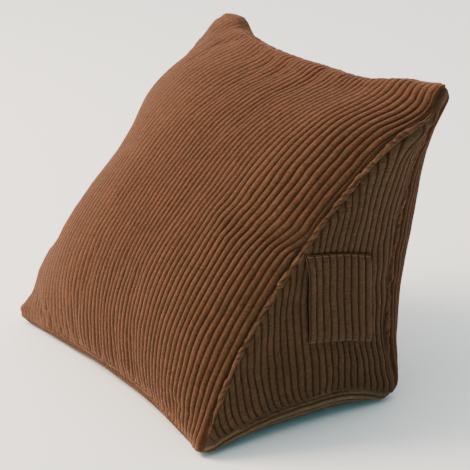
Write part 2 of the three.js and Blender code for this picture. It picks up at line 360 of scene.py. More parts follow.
def blunt(points):
    """Pushes what lies near an ear's tip back towards the middle, so that the ear ends bluntly."""
    for ear in EARS.values():
        tip = np.array(ear.tip, float)
        inward = unit(MIDDLE - tip)
        near = distance_to(tip, points) < EAR_REACH
        share = np.clip(1 - ((points - tip) @ inward) / EAR_REACH, 0, EAR_PUSH_LIMIT)
        push = np.where(near, EAR_PUSH * share ** (EAR_REACH / EAR_PUSH), 0)
        points = points + push[..., None] * inward
    for pull in PULLS:
        nearness = bell(distance_to(pull.centre, points), pull.reach)
        points = points + nearness[..., None] * np.array(pull.move, float)
    return points


def off_floor(points):
    """0 where the cloth lies on the floor, 1 where it is clear of it."""
    return np.clip(points[..., 2] / FLOOR_FILLET, 0, 1)


def rest_on_floor(points):
    z = points[..., 2]
    bent = np.clip(z + FLOOR_FILLET, 0, None) ** 2 / (4 * FLOOR_FILLET)
    points[..., 2] = np.where(z < FLOOR_FILLET, bent, z)
    return points


def outward_of(panel):
    along = panel.end.start - panel.start.start
    square = np.cross([1.0, 0, 0], [0, along[1], along[2]])
    return panel.facing * unit(square)


def panel_point(panel, t, s):
    """Points of a long panel: t runs from its left seam to its right, s from its start to its end."""
    t, s = np.broadcast_arrays(np.asarray(t, float), np.asarray(s, float))
    across = t[..., None]
    along = s[..., None]
    point = seam_point(panel.left, s) * (1 - across) + seam_point(panel.right, s) * across
    point = point + seam_point(panel.start, t) * (1 - along) + seam_point(panel.end, t) * along
    point = point - panel.start.start * (1 - across) * (1 - along) - panel.start.end * across * (1 - along)
    point = point - panel.end.start * (1 - across) * along - panel.end.end * across * along
    lift = (hump(t, panel.across) * hump(s, panel.along)) ** panel.fullness
    point = blunt(point + outward_of(panel) * panel.crown * lift[..., None])
    return rest_on_floor(point) if panel is BASE else point


def side_point(side, r, s):
    """Points of a side panel: r runs from the front ear to the back edge, s up to the slope seam."""
    r, s = np.broadcast_arrays(np.asarray(r, float), np.asarray(s, float))
    up = s[..., None]
    point = seam_point(side.base, r) * (1 - up) + seam_point(side.slope, r) * up
    point = point + side.back_edge.draw * (r * hump(s, SEAM_ROUNDNESS))[..., None]
    along_base = r**SIDE_SWELL_FRONT * (1 - r**SIDE_SWELL_BACK) / SIDE_SWELL_PEAK
    point[..., 0] += side.sign * SIDE_CROWN * (hump(s, SIDE_ACROSS) * along_base) ** SIDE_FULLNESS
    return blunt(point)


def base_length(side):
    return np.linalg.norm(side.base.end - side.base.start)


def side_rib_length(side, r):
    return np.linalg.norm(seam_point(side.base, r) - seam_point(side.slope, r), axis=-1)


def grid_faces(numbers, flipped=False):
    corners = [numbers[:-1, :-1], numbers[:-1, 1:], numbers[1:, 1:], numbers[1:, :-1]]
    return np.stack(corners[::-1] if flipped else corners, axis=-1).reshape(-1, 4).tolist()


def grid_normals(points, facing=1, closed_rows=False):
    """Directions square to a grid of points, from the neighbours in its rows and columns."""
    if closed_rows:
        along = np.roll(points, -1, axis=0) - np.roll(points, 1, axis=0)
    else:
        along = np.gradient(points, axis=0)
    across = np.gradient(points, axis=1)
    return unit(np.cross(across, along)) * facing


def rib_columns(count):
    """Places across the ribs in rib numbers: whole numbers are grooves."""
    places = (np.arange(count)[:, None] + RIB_PHASES[None, :]).ravel()
    return np.append(places, count)


def rib_profile(place):
    """Height over the groove, from 0 to 1: a broad round crest with a narrow groove on each side."""
    phase = place - np.floor(place)
    return hump(phase, RIB_ROUNDNESS) ** RIB_FULLNESS


def row_lengths(points):
    steps = np.linalg.norm(np.diff(points, axis=0), axis=1)
    return np.concatenate([[0], np.cumsum(steps)])


def even_places(panel, s, places):
    """The t values across a row where the given rib numbers lie, evenly spaced along the cloth."""
    t = np.linspace(0, 1, 241)
    lengths = row_lengths(panel_point(panel, t, s))
    pitch = (lengths[-1] - 2 * WELT_MARGIN) / LONG_RIBS
    return np.interp(WELT_MARGIN + places * pitch, lengths, t)


def dense_ends(count):
    """Values from 0 to 1 that lie closer together towards both ends."""
    x = np.linspace(0, 1, count)
    return 0.45 * x + 0.55 * (0.5 - 0.5 * np.cos(math.pi * x))


def fold_lift(folds, rib, along):
    lift = np.zeros(np.broadcast(rib, along).shape)
    for fold in folds:
        start = np.array([fold.start[0] * PITCH, fold.start[1]])
        run = np.array([fold.end[0] * PITCH, fold.end[1]]) - start
        x = rib * PITCH - start[0]
        y = along - start[1]
        length = np.linalg.norm(run)
        share = (x * run[0] + y * run[1]) / length**2
        off = (x * run[1] - y * run[0]) / length
        ends = soft_step(share, *FOLD_GROWS) * (1 - soft_step(share, *FOLD_DIES))
        lift -= fold.depth * bell(off, fold.width) * ends
    return lift


def ring_rows():
    """(panel, s) of each row of the ring: up the front, down the back and forward under the base."""
    rows = [(FRONT, s) for s in dense_ends(RING_ROWS["front"])]
    rows += [(BACK, s) for s in dense_ends(RING_ROWS["back"])[:-1][::-1]]
    rows += [(BASE, s) for s in dense_ends(RING_ROWS["base"])[1:-1][::-1]]
    return rows


def ring_along(rows):
    """Millimetres along the cloth from the toe to each row, measured up the middle."""
    return row_lengths(np.array([panel_point(panel, 0.5, s) for panel, s in rows]))


def seam_pucker(distance, place, seed, depth):
    """Small gathers square to a seam: distance is from the seam, place is along it, in millimetres."""
    gather = soft_noise(place / PUCKER_PITCH, 0, seed)
    gather = gather + 0.5 * soft_noise(place / FINE_PUCKER_PITCH, 3, seed)
    return depth * gather * np.exp(-distance / PUCKER_REACH)


def swallow(rib, along):
    """The rib numbers after those next to the right slope seam are drawn under it, up the slope."""
    from_seam = LONG_RIBS - rib
    drawn = sum(count * soft_step(along, start, end) for count, start, end in SWALLOWED)
    drawn = drawn * (along < FRONT_LENGTH)
    kept = from_seam - drawn * bell(from_seam, SWALLOW_REACH)
    return LONG_RIBS - np.where(from_seam > 0, np.maximum(kept, SWALLOWED_WIDTH * from_seam), from_seam)


def ear_distance(points):
    return np.min([distance_to(ear.tip, points) for ear in EARS.values()], axis=0)


def ear_lift(points):
    """Swells the cloth near each ear's tip and pinches it in behind."""
    lift = np.zeros(points.shape[:-1])
    for ear in EARS.values():
        distance = distance_to(ear.tip, points)
        lift += ear.swell * bell(distance - SWELL_PLACE, SWELL_REACH)
        lift -= ear.pinch * bell(distance - PINCH_PLACE, PINCH_REACH)
    return lift


def pressed_out(points, pinned, closed_rows, flipped):
    """How a pinned grid of cloth moves when the stuffing presses it out, in millimetres."""
    rows, columns = points.shape[:2]
    numbers = np.arange(rows * columns).reshape(rows, columns)
    if closed_rows:
        numbers = np.concatenate([numbers, numbers[:1]])
    mesh = bpy.data.meshes.new("cloth")
    mesh.from_pydata((points.reshape(-1, 3) * MM).tolist(), [], grid_faces(numbers, flipped))
    piece = add_object("cloth", mesh)
    group = piece.vertex_groups.new(name="pinned")
    group.add(np.flatnonzero(pinned.reshape(-1)).tolist(), 1.0, "REPLACE")
    cloth = piece.modifiers.new("cloth", "CLOTH")
    settings = cloth.settings
    settings.quality = 5
    settings.mass = 0.3
    settings.bending_stiffness = 0.3
    settings.vertex_group_mass = "pinned"
    settings.use_pressure = True
    settings.uniform_pressure_force = CLOTH_PRESSURE
    settings.shrink_min = -CLOTH_GROWTH
    settings.effector_weights.gravity = 0
    cloth.collision_settings.use_collision = False
    cloth.point_cache.frame_start = 1
    cloth.point_cache.frame_end = CLOTH_FRAMES
    for frame_number in range(1, CLOTH_FRAMES + 1):
        bpy.context.scene.frame_set(frame_number)
    solved = piece.evaluated_get(bpy.context.evaluated_depsgraph_get())
    moved = vertex_values(solved.data, "co").reshape(points.shape) / MM - points
    bpy.data.objects.remove(piece)
    bpy.data.meshes.remove(mesh)
    bpy.context.scene.frame_set(1)
    return moved


def windows(values, reach, axis, mode="edge"):
    """Copies of a grid, each moved along the axis by one more place, from -reach to reach."""
    padding = [(reach, reach) if a == axis else (0, 0) for a in range(values.ndim)]
    padded = np.pad(values, padding, mode=mode)
    return [np.take(padded, range(k, k + values.shape[axis]), axis) for k in range(2 * reach + 1)]


def running_mean(values, reach, closed_rows):
    values = np.mean(windows(values, reach, 0, "wrap" if closed_rows else "edge"), axis=0)
    return np.mean(windows(values, reach, 1), axis=0)


def wrinkles(points, places, kept_rows, pinned_rows, limit, closed_rows=False, flipped=False):
    """The simulated wrinkles of a grid, without its general swelling, at each of its points."""
    kept_columns = np.flatnonzero(places == np.floor(places))
    kept_columns = np.unique(np.concatenate([[0], kept_columns, [len(places) - 1]]))
    coarse = points[np.ix_(kept_rows, kept_columns)]
    pinned = np.zeros(coarse.shape[:2], bool)
    pinned[:, 0] = True
    pinned[:, -1] = True
    pinned[np.isin(kept_rows, pinned_rows)] = True
    moved = pressed_out(coarse, pinned, closed_rows, flipped)
    moved = moved - running_mean(moved, CLOTH_SMOOTHING, closed_rows)
    moved[pinned] = 0
    size = np.linalg.norm(moved, axis=-1, keepdims=True)
    moved = moved * np.tanh(size / limit) * limit / np.maximum(size, 1e-6)
    fine = np.zeros(points.shape)
    for axis in range(3):
        columns = [np.interp(np.arange(len(points)), kept_rows, column) for column in moved[..., axis].T]
        by_row = np.stack(columns, axis=1)
        fine[..., axis] = [np.interp(places, places[kept_columns], row) for row in by_row]
    return fine


def kept_ring_rows(count, seams):
    rows = np.arange(0, count, CLOTH_ROW_STEP)
    return np.unique(np.concatenate([rows, seams, [count - 1]]).astype(int))


def ring_points(rows, along, places):
    """The long panels as one grid of rows and rib places, before its ribs are raised."""
    rib = places[None, :]
    up = along[:, None]
    wobble = patches(WOBBLE, rib, up, SEEDS["wobble"]) + patches(FINE_WOBBLE, rib, up, SEEDS["fine_wobble"])
    wobble = wobble * soft_step(np.minimum(rib, LONG_RIBS - rib), 0, 2)
    moved_ribs = swallow(rib, up) + wobble
    points = np.array([
        panel_point(panel, even_places(panel, s, numbers), s) for (panel, s), numbers in zip(rows, moved_ribs)
    ])
    front_end = RING_ROWS["front"]
    back_end = front_end + RING_ROWS["back"] - 1
    pinned = np.concatenate([[0, front_end - 1], np.arange(back_end - 1, len(rows))])
    kept_rows = kept_ring_rows(len(rows), [front_end - 1, back_end - 1])
    edge = np.minimum(rib, LONG_RIBS - rib) * PITCH + WELT_MARGIN
    calm = soft_step(ear_distance(points), *CLOTH_CALM_EAR) * soft_step(edge, *CLOTH_CALM_SEAM)
    moved = wrinkles(points, places, kept_rows, pinned, CLOTH_LIMIT, closed_rows=True)
    points = points + moved * calm[..., None]
    lift = fold_lift(FOLDS, rib, up)
    place = up + OTHER_SEAM * (rib > LONG_RIBS / 2)
    lift = lift + seam_pucker(edge, place, SEEDS["pucker"], PUCKER)
    lift = lift + patches(LUMPS, rib * PITCH, up, SEEDS["lumps"])
    to_top = FRONT_LENGTH - up
    roll = np.where(to_top > 0, bell(to_top - TOP_ROLL_PLACE, TOP_ROLL_REACH), 0)
    lift = lift + TOP_ROLL * roll * np.clip(hump(rib / LONG_RIBS, TOP_ROLL_SHAPE), 0, 1)
    lift = (lift + ear_lift(points) * np.where(to_top > 0, 1, BACK_SWELL)) * off_floor(points)
    return points + grid_normals(points, closed_rows=True) * lift[..., None]


def ring_seam_distance(rows):
    """Millimetres from each row to the nearer seam of its panel."""
    return np.array([
        min(s, 1 - s) * np.linalg.norm(panel.end.start - panel.start.start) for panel, s in rows
    ])


def swallowed_width(places, along):
    """The width that the drawn-in ribs keep, as a share of their own."""
    inside = np.clip(places, 0, LONG_RIBS)[None, :]
    step = 0.25
    ahead, behind = (swallow(inside + side * step, along[:, None]) for side in (1, -1))
    return np.clip((ahead - behind) / (2 * step), 0.1, 1)


def raise_ribs(points, normals, places, fade):
    height = RIB_HEIGHT * rib_profile(places) * fade * off_floor(points)
    height = height * soft_step(ear_distance(points), *BARE_TIP)
    height = height * (1 - LEFT_FLATTENING * (1 - soft_step(places, *FLAT_RIBS)))
    return points + normals * height[..., None]


def r_at(side, goal, s, last=1.0):
    """The r of the side panel's points at the given y and s, by steps that close in on it."""
    depth = base_length(side)
    r = np.clip((goal - side.base.start[1]) / depth, 0, 1)
    for _ in range(6):
        r = np.clip(r + (goal - side_point(side, r, s)[..., 1]) / depth, 0.012, last)
    return r


def side_places(side, ribs):
    """The r, s and rise of each rib place of a side panel: grids of columns and rows.

    Its ribs stand upright. Those at the back follow the back seam, and those in front lean a little.
    """
    depth = base_length(side)
    last = 1 - SIDE_INSET / depth
    start = SIDE_FIRST + ribs * SIDE_PITCH / depth
    length = side_rib_length(side, np.minimum(start, last))[:, None]
    inset = SIDE_INSET / length
    s = inset + (1 - 2 * inset) * dense_ends(SIDE_ROWS)[None, :]
    rise = s * length
    start = start[:, None]
    back = seam_point(side.back_edge, np.clip(rise / length[-1], 0, 1))[..., 1] - side.back_edge.start[1]
    in_front = 1 - soft_step(start, *SIDE_SWERVE_TO)
    swerve = SIDE_SWERVE * (np.exp(-rise / SIDE_SWERVE_REACH) - SIDE_SWERVE_LEFT) * in_front
    goal = side.base.start[1] + start * (side.base.end - side.base.start)[1] + swerve
    goal = goal + SIDE_FOLLOW * back * soft_step(start, *SIDE_FOLLOW_FROM)
    goal = goal - SIDE_LEAN * rise * (1 - soft_step(start, *SIDE_LEAN_TO))
    goal = goal + SIDE_TOP_LEAN * soft_step(s, *SIDE_TOP_LEAN_RISE) * soft_step(start, *SIDE_TOP_LEAN_FROM)
    r = r_at(side, goal, s, last)
    room = SIDE_SQUEEZED / depth * (np.arange(len(ribs))[::-1])[:, None]
    return np.minimum(r, last - room), s, rise


def pressed_by_stitches(points):
    """How much the pocket's two rows of stitches press down the ribs at points of its side panel."""
    across, up = np.meshgrid(np.linspace(0, 1, 24), [0.0, 1.0], indexing="ij")
    edges = pocket_base(across, up)[0]
    pressed = 0
    for k in (0, 1):
        line = np.interp(points[..., 1], edges[:, k, 1], edges[:, k, 2], left=np.inf, right=np.inf)
        pressed = pressed + bell(points[..., 2] - line, STITCH_PRESS_REACH)
    return np.minimum(pressed, 1)


def side_grid(side, ribs, seed):
    r, s, rise = side_places(side, ribs)
    r = r + patches(SIDE_WOBBLE, ribs[:, None], rise, seed)
    points = side_point(side, r, s)
    kept_rows = kept_ring_rows(SIDE_ROWS, [])
    grid = np.swapaxes(points, 0, 1)
    moved = wrinkles(grid, ribs, kept_rows, [0, SIDE_ROWS - 1], SIDE_CLOTH_LIMIT, flipped=side.sign < 0)
    points = points + np.swapaxes(moved, 0, 1)
    edge = np.minimum(rise, side_rib_length(side, r[:, :1]) - rise)
    across = ribs[:, None] * PITCH
    lift = seam_pucker(edge, across, seed + 1, SIDE_PUCKER) + patches(SIDE_LUMPS, across, rise, seed + 2)
    points = points + grid_normals(points, -side.sign) * lift[..., None]
    normals = grid_normals(points, -side.sign)
    fade = np.clip(edge / SEAM_FADE, SIDE_SEAM_RIB_SHARE, 1)
    width = np.gradient(r, axis=0) / np.gradient(ribs)[:, None] * base_length(side)
    height = RIB_HEIGHT * rib_profile(ribs)[:, None] * fade * np.clip(width / SIDE_PITCH, 0, 1)
    if side is RIGHT_SIDE:
        height = height * (1 - STITCH_PRESS * pressed_by_stitches(points))
    return points + normals * height[..., None], rise, edge


class Shell:
    """Collects the points of a closed mesh with their rib numbers, lengths along and nearness to a seam."""

    def __init__(self):
        self.points = []
        self.marks = []
        self.faces = []
        self.count = 0

    def add(self, points, rib, along, seam):
        """Adds an array of points and gives back their numbers in the same layout."""
        shape = points.shape[:-1]
        self.points.append(points.reshape(-1, 3))
        marks = [np.broadcast_to(values, shape).reshape(-1) for values in (rib, along, seam)]
        self.marks.append(np.stack(marks, axis=1))
        numbers = np.arange(self.count, self.count + math.prod(shape)).reshape(shape)
        self.count += numbers.size
        return numbers

    def quads(self, grid, flipped=False):
        self.faces += grid_faces(grid, flipped)

    def tube(self, numbers):
        """Closes a grid whose rows run round a tube, with a face over each of its ends."""
        self.quads(np.concatenate([numbers, numbers[:, :1]], axis=1), flipped=True)
        self.faces.append(numbers[0].tolist())
        self.faces.append(numbers[-1][::-1].tolist())

    def bridge(self, outer, inner, flipped):
        """Fills the strip between two closed loops that run the same way round, by the shorter diagonals."""
        points = np.concatenate(self.points)
        i = 0
        k = 0

        def gap(a, b):
            return np.linalg.norm(points[outer[a % len(outer)]] - points[inner[b % len(inner)]])

        while i < len(outer) or k < len(inner):
            take_outer = i < len(outer) and (k >= len(inner) or gap(i + 1, k) < gap(i, k + 1))
            here = outer[i % len(outer)]
            there = inner[k % len(inner)]
            if take_outer:
                face = [outer[(i + 1) % len(outer)], here, there]
                i += 1
            else:
                face = [here, there, inner[(k + 1) % len(inner)]]
                k += 1
            self.faces.append([int(n) for n in (face[::-1] if flipped else face)])

    def build(self, name):
        mesh = bpy.data.meshes.new(name)
        mesh.from_pydata((np.concatenate(self.points) * MM).tolist(), [], self.faces)
        mesh.shade_smooth()
        marks = np.concatenate(self.marks)
        for column, key in enumerate(("rib", "along", "seam")):
            attribute = mesh.attributes.new(key, "FLOAT", "POINT")
            attribute.data.foreach_set("value", marks[:, column].astype(np.float32))
        mesh.update()
        return add_object(name, mesh)


def loop_of(grid):
    """The rim of a side grid of columns and rows: along the slope seam, down the back and along the base."""
    return np.concatenate([grid[:, -1], grid[-1, 1:-1][::-1], grid[:, 0][::-1], grid[0, 1:-1]])


FRONT_LENGTH = ring_along([(FRONT, s) for s in np.linspace(0, 1, 60)])[-1]


def make_cushion():
    shell = Shell()
    rows = ring_rows()
    along = ring_along(rows)
    margin = WELT_MARGIN / PITCH
    places = np.concatenate([[-margin], rib_columns(LONG_RIBS), [LONG_RIBS + margin]])
    points = ring_points(rows, along, places)
    normals = grid_normals(points, closed_rows=True)
    from_seam = ring_seam_distance(rows)[:, None]
    ribbed = np.where((places >= 0) & (places <= LONG_RIBS), 1.0, 0.0)[None, :]
    width = swallowed_width(places, along)
    fade = np.clip(from_seam / SEAM_FADE, SEAM_RIB_SHARE, 1) * ribbed * width
    points = raise_ribs(points, normals, places, fade)
    seam = np.maximum(1 - np.clip(from_seam / SEAM_MARK_REACH, 0, 1), 1 - ribbed)
    ring = shell.add(points, places[None, :], along[:, None], np.maximum(seam, 1 - width))
    shell.quads(np.concatenate([ring, ring[:1]]))
    side_ribs = rib_columns(SIDE_RIBS)
    for side, mark, seed, column in (
        (LEFT_SIDE, LEFT_SIDE_MARK, SEEDS["left_side"], 0),
        (RIGHT_SIDE, RIGHT_SIDE_MARK, SEEDS["right_side"], -1),
    ):
        grid, rise, edge = side_grid(side, side_ribs, seed)
        seam = 1 - np.clip(edge / SEAM_MARK_REACH, 0, 1)
        numbers = shell.add(grid, side_ribs[:, None] + mark, rise, seam)
        flipped = side.sign < 0
        shell.quads(numbers, flipped=not flipped)
        shell.bridge(ring[:, column], loop_of(numbers), flipped)
    return shell.build("cushion_cover"), ring


def vertex_values(mesh, key):
    """The places, with the key co, or the normals of a mesh's vertices."""
    values = np.empty(len(mesh.vertices) * 3)
    mesh.vertices.foreach_get(key, values)
    return values.reshape(-1, 3)


def resample(values, lengths, places):
    return np.stack([np.interp(places, lengths, values[:, axis]) for axis in range(3)], axis=1)


def soften(values, reach):
    """A running mean over rows, with both ends held."""
    padded = np.concatenate([values[:1].repeat(reach, 0), values, values[-1:].repeat(reach, 0)])
    kernel = np.ones(2 * reach + 1) / (2 * reach + 1)
    return np.stack([np.convolve(padded[:, axis], kernel, "valid") for axis in range(3)], axis=1)


def add_welt(shell, points, outward, form, seed):
    """One seam's welt: a tube along it, pressed into two strands that turn slowly round each other."""
    lengths = row_lengths(points)
    total = lengths[-1]
    places = np.linspace(0, total, int(total / WELT_STEP))
    path = soften(resample(points, lengths, places), 2)
    out = unit(soften(resample(outward, lengths, places), 5))
    tangent = unit(np.gradient(path, axis=0))
    side = unit(np.cross(tangent, out))
    out = np.cross(side, tangent)
    angle = np.linspace(-math.pi, math.pi, WELT_SIDES + 1)[None, :]
    turn = 2 * math.pi * places / form.lay if form.lay else np.full(places.shape, math.pi / 2)
    turn = (turn + WELT_WANDER * soft_noise(places / 12, 0, seed))[:, None]
    strand = np.abs(np.cos(angle - turn))
    knobs = soft_noise(places[:, None] / 4.2, angle / 1.3, seed + 1)
    gathers = soft_noise(places / 9, 0, seed + 2)[:, None]
    uneven = WELT_STRANDS * strand + WELT_KNOBS * knobs + WELT_GATHERS * gathers
    radius = form.radius * (WELT_CORE + uneven)
    if form.ribs:
        radius = radius * (0.8 + 0.25 * rib_profile(places / total * form.ribs))[:, None]
    ends = soft_step(np.minimum(places, total - places), 0, WELT_TAPER)[:, None]
    radius = radius * np.maximum(ends, 0.05)
    centre = path + out * (form.lift - WELT_SINK * (1 - ends))
    tube = centre[:, None, :] + out[:, None, :] * (radius * np.cos(angle) * WELT_HIGH)[..., None]
    tube = tube + side[:, None, :] * (radius * np.sin(angle) * WELT_WIDE)[..., None]
    tube[..., 2] = np.maximum(tube[..., 2], WELT_FLOOR)
    rib = (angle - turn) / math.pi + 0.5 + WELT_MARK + WELT_MARK_STEP * seed
    shell.tube(shell.add(tube[:, :-1], rib[:, :-1], places[:, None], 0))


def make_welts(cushion, ring):
    """The welts of all nine seams, on the finished cushion's own points."""
    points = vertex_values(cushion.data, "co") / MM
    outward = vertex_values(cushion.data, "normal")
    front_end = RING_ROWS["front"]
    back_end = front_end + RING_ROWS["back"] - 1
    shell = Shell()
    seed = SEEDS["welts"]
    for column, slope_form in ((ring[:, 0], SUNKEN_WELT), (ring[:, -1], ROPE_WELT)):
        closed = np.concatenate([column, column[:1]])
        for numbers, form in (
            (closed[:front_end], slope_form),
            (closed[front_end - 1:back_end], BACK_WELT),
            (closed[back_end - 1:], BASE_WELT),
        ):
            add_welt(shell, points[numbers], outward[numbers], form, seed)
            seed += 3
    for row in (0, front_end - 1, back_end - 1):
        numbers = ring[row]
        add_welt(shell, points[numbers], outward[numbers], RIBBED_WELT, seed)
        seed += 3
    return shell.build("seam_welts")


def pocket_base(across, up):
    """The right side panel's plain surface under the pocket, and the directions square to it."""
    def between(corners):
        low, high = (ends[0] * (1 - across) + ends[1] * across for ends in corners)
        return low * (1 - up) + high * up

    y = between(POCKET_Y)
    rise = between(POCKET_RISE)
    r = (y - RIGHT_SIDE.base.start[1]) / base_length(RIGHT_SIDE)
    for _ in range(4):
        s = rise / side_rib_length(RIGHT_SIDE, r)
        r = r_at(RIGHT_SIDE, y, s)
    points = side_point(RIGHT_SIDE, r, s)
    return points, grid_normals(points, -1)


def cloth_under(cushion, points, normals):
    """How high the finished cushion stands over the plain surface at each point."""
    mesh = cushion.data
    right = [tuple(face.vertices) for face in mesh.polygons if face.center.x > 0.15]
    tree = BVHTree.FromPolygons([tuple(v.co) for v in mesh.vertices], right)
    heights = np.zeros(points.shape[:2])
    for index in np.ndindex(heights.shape):
        start = Vector((points[index] + normals[index] * POCKET_PROBE) * MM)
        found = tree.ray_cast(start, Vector(-normals[index]), 2 * POCKET_PROBE * MM)
        heights[index] = POCKET_PROBE - found[3] / MM
    return heights


def spread_up(heights, reach):
    """The highest value within reach along both directions of a grid, softened."""
    for axis in (0, 1):
        heights = np.max(windows(heights, reach, axis), axis=0)
        heights = np.mean(windows(heights, reach, axis), axis=0)
    return heights


def closed_rim(grid):
    """The rim of a grid, all the way round to its first point again."""
    return np.concatenate([grid[:, 0], grid[-1, 1:], grid[:-1, -1][::-1], grid[0, :-1][::-1]])


def make_pocket(cushion):
    """The patch pocket: a thin ribbed sheet, stitched at the top, bottom and back, open to the front."""
    ribs = rib_columns(POCKET_RIBS)
    across, up = np.meshgrid(ribs / POCKET_RIBS, dense_ends(POCKET_ROWS), indexing="ij")
    rise = up * POCKET_FLAT[1] / MM
    bend = POCKET_BEND / POCKET_RIBS * soft_noise(across * 3, rise / 26, SEEDS["pocket_bend"])
    bend = bend * hump(across, 6)
    points, normals = pocket_base(across + bend, up)
    under = spread_up(cloth_under(cushion, points, normals), POCKET_SPREAD)
    from_end = np.minimum(rise, rise.max() - rise)
    pressed = 1 - bell(from_end, POCKET_PRESS_REACH)
    gape = POCKET_GAPE * np.clip(1 - across / POCKET_GAPE_REACH, 0, 1) ** 2 * hump(up, 4)
    loose = soft_noise(across * 2.2, rise / 30, SEEDS["pocket_looseness"]) * pressed * hump(across, 4)
    inner = under + POCKET_CLEARANCE + gape + np.maximum(POCKET_LOOSENESS * loose, 0)
    thickness = POCKET_THICKNESS * (POCKET_PRESSED_CLOTH + (1 - POCKET_PRESSED_CLOTH) * pressed)
    height = POCKET_RIB_HEIGHT * (POCKET_PRESSED_RIBS + (1 - POCKET_PRESSED_RIBS) * pressed)
    height = height * rib_profile(ribs)[:, None]
    uneven = soft_noise(ribs[:, None] * 1.1, rise / 7, SEEDS["pocket_ribs"])
    height = height * (1 + POCKET_UNEVENNESS * uneven)
    surface = points + normals * (inner + thickness + height)[..., None]
    shell = Shell()
    outside = shell.add(surface, ribs[:, None] + POCKET_MARK, rise, 0)
    inside = shell.add(points + normals * inner[..., None], ribs[:, None] + POCKET_INSIDE_MARK, rise, 0)
    shell.quads(outside, flipped=True)
    shell.quads(inside)
    shell.quads(np.stack([closed_rim(outside), closed_rim(inside)]))
    pocket = shell.build("pocket_patch")
    pocket.data.set_sharp_from_angle(angle=POCKET_SHARP)
    return pocket, surface, normals


def add_stitch(shell, path, outward, rib):
    """One stitch: a short round thread that dips into the cloth at both ends."""
    tangent = unit(np.gradient(path, axis=0))
    side = unit(np.cross(tangent, outward))
    angle = np.linspace(0, 2 * math.pi, STITCH_SIDES, endpoint=False)[None, :]
    radius = STITCH_RADIUS * np.sqrt(hump(np.linspace(0.02, 0.98, len(path)), 6))[:, None]
    tube = path[:, None] + outward[:, None] * (radius * np.cos(angle))[..., None]
    tube = tube + side[:, None] * (radius * np.sin(angle))[..., None]
    shell.tube(shell.add(tube, rib, 0, 1))


def make_stitches(surface, normals):
    """Small stitches over each rib of the pocket, along its top and its bottom."""
    shell = Shell()
    phases = len(RIB_PHASES)
    for row in (STITCH_INSET, POCKET_ROWS - 1 - STITCH_INSET):
        for rib in range(POCKET_RIBS):
            columns = slice(rib * phases + 1, rib * phases + phases)
            out = normals[columns, row]
            add_stitch(shell, surface[columns, row] + out * STITCH_LIFT, out, rib)
    return shell.build("pocket_stitches")


class Nodes:
    """Adds shader nodes. An input that is a socket is linked, and any other value is set."""

    def __init__(self, owner):
        self.owner = owner
        owner.use_nodes = True
        self.tree = owner.node_tree
        self.tree.nodes.clear()

    def add(self, kind, inputs=None, **settings):
        node = self.tree.nodes.new(kind)
        for key, value in settings.items():
            setattr(node, key, value)
        for key, value in (inputs or {}).items():
            if isinstance(value, bpy.types.NodeSocket):
                self.tree.links.new(value, node.inputs[key])
            else:
                node.inputs[key].default_value = value
        return node

    def math(self, operation, *values):
        return self.add("ShaderNodeMath", dict(enumerate(values)), operation=operation).outputs[0]

    def times(self, a, b):
        return self.math("MULTIPLY", a, b)

    def attribute(self, key):
        return self.add("ShaderNodeAttribute", attribute_name=key).outputs["Fac"]

    def step(self, value, low, high, start=0.0, end=1.0):
        inputs = {"Value": value, "From Min": low, "From Max": high, "To Min": start, "To Max": end}
        return self.add("ShaderNodeMapRange", inputs, interpolation_type="SMOOTHSTEP").outputs[0]

    def mix(self, share, a, b, blend="MIX"):
        inputs = {0: share, 6: a, 7: b}
        return self.add("ShaderNodeMix", inputs, data_type="RGBA", blend_type=blend).outputs[2]

    def noise(self, vector, scale, detail=2.0, roughness=0.5):
        inputs = {"Vector": vector, "Scale": scale, "Detail": detail, "Roughness": roughness}
        return self.add("ShaderNodeTexNoise", inputs).outputs["Fac"]

    def vector(self, x, y):
        return self.add("ShaderNodeCombineXYZ", {"X": x, "Y": y}).outputs[0]

    def times_grey(self, colour, brightness):
        grey = self.add("ShaderNodeCombineColor", dict.fromkeys(("Red", "Green", "Blue"), brightness))
        return self.mix(1.0, colour, grey.outputs[0], "MULTIPLY")

    def finish(self, shader, kind="ShaderNodeOutputMaterial"):
        self.add(kind, {"Surface": shader.outputs[0]})
        return self.owner


def rgb(red, green, blue):
    return (red, green, blue, 1.0)


